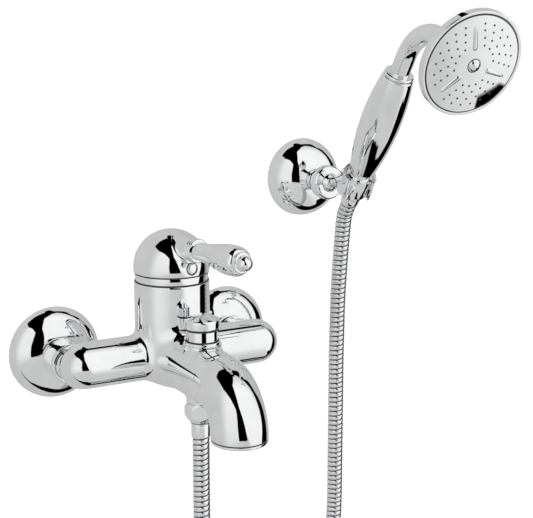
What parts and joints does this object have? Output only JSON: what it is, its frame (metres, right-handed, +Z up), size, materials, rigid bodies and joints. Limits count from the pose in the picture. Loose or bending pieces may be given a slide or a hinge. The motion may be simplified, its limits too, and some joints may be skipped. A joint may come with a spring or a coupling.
{
  "type": "bath shower mixer",
  "caption": "Wall bath mixer with a lever dome, a hooked spout with a pull diverter, domed rosettes, and a ribbed hose to a handset in a swivelling wall holder.",
  "frame": {"origin": "on the wall, midway between the two inlets", "axes": "+Z up, +Y into the wall, +X to the right for someone facing the wall"},
  "size_m": [0.2956, 0.2762, 0.5894],
  "materials": {
    "chrome": "polished chrome plate",
    "hose_chrome": "wound metal hose, chrome plated",
    "brass": "turned brass",
    "steel": "zinc plated steel",
    "rubber": "moulded rubber",
    "white_plastic": "moulded acetal",
    "ceramic": "lapped alumina ceramic",
    "black_plastic": "moulded nylon"
  },
  "bodies": {
    "mixer": {"mixer_body": "chrome", "left_inlet_union": "chrome", "right_inlet_union": "chrome", "left_union_nut": "chrome", "right_union_nut": "chrome", "inlet_washers": "rubber", "left_rosette": "chrome", "right_rosette": "chrome", "cartridge_base": "white_plastic", "cartridge_seals": "rubber", "cartridge_housing": "white_plastic", "fixed_disc": "ceramic", "cartridge_nut": "brass", "trim_collar": "chrome", "aerator_housing": "chrome", "aerator_insert": "white_plastic", "aerator_washer": "rubber", "diverter_bonnet": "chrome", "diverter_oring": "rubber", "outlet_nipple": "chrome", "hose_nut": "chrome", "hose_washer": "rubber", "hose_start_ferrule": "chrome", "hose_outlet_leg": "hose_chrome", "hose_coil": "hose_chrome", "hose_riser": "hose_chrome", "hose_tie": "black_plastic", "bracket_plate": "steel", "bracket_screws": "steel", "bracket_rosette": "chrome", "bracket_stem": "chrome", "socket_ring": "chrome"},
    "lever_carrier": {"stem_carrier": "white_plastic", "pivot_pin": "steel"},
    "lever": {"spindle": "brass", "dome_cap": "chrome", "lever_neck": "chrome", "lever_handle": "chrome", "lever_end_button": "chrome", "index_button": "chrome", "set_screw": "steel"},
    "valve_disc": {"moving_disc": "ceramic"},
    "diverter": {"diverter_knob": "chrome", "diverter_rod": "brass", "valve_washer": "rubber"},
    "holder": {"holder_neck": "chrome", "holder_cup": "chrome"},
    "hose_end": {"hose_end_ferrule": "chrome"},
    "handset": {"cone_nut": "chrome", "handset_washer": "rubber", "handset_grip": "chrome", "grip_collar": "chrome", "handset_neck": "chrome", "head_shell": "chrome", "head_gasket": "rubber", "spray_plate": "chrome", "spray_screw": "chrome"}
  },
  "joints": [
    {"name": "lever_swing", "type": "hinge", "parent": "mixer", "child": "lever_carrier", "pos_m": [0, -0.062, 0.056], "axis": [0, 0, 1], "range_deg": [-53, 37]},
    {"name": "lever_lift", "type": "hinge", "parent": "lever_carrier", "child": "lever", "pos_m": [0, -0.062, 0.056], "axis": [-0.9903, -0.1392, 0], "range_deg": [0, 20]},
    {"name": "valve_slide", "type": "slide", "parent": "lever_carrier", "child": "valve_disc", "axis": [0.1392, -0.9903, 0], "range_m": [0, 0.0026]},
    {"name": "diverter_pull", "type": "slide", "parent": "mixer", "child": "diverter", "axis": [0, 0, 1], "range_m": [0, 0.0092]},
    {"name": "holder_tilt", "type": "hinge", "parent": "mixer", "child": "holder", "pos_m": [0.151, -0.044, 0.125], "axis": [-1, 0, 0], "range_deg": [-15, 25], "deforming": ["hose_riser"]},
    {"name": "handset_lift", "type": "slide", "parent": "holder", "child": "hose_end", "axis": [0, -0.5299, 0.848], "range_m": [0, 0.07], "deforming": ["hose_riser"]},
    {"name": "handset_turn", "type": "hinge", "parent": "hose_end", "child": "handset", "pos_m": [0.151, -0.089, 0.132], "axis": [0, -0.5299, 0.848], "range_deg": [-45, 45]}
  ],
  "couplings": [
    {"joint": "valve_slide", "follows": "lever_lift", "m_per_rad": 0.0074}
  ]
}
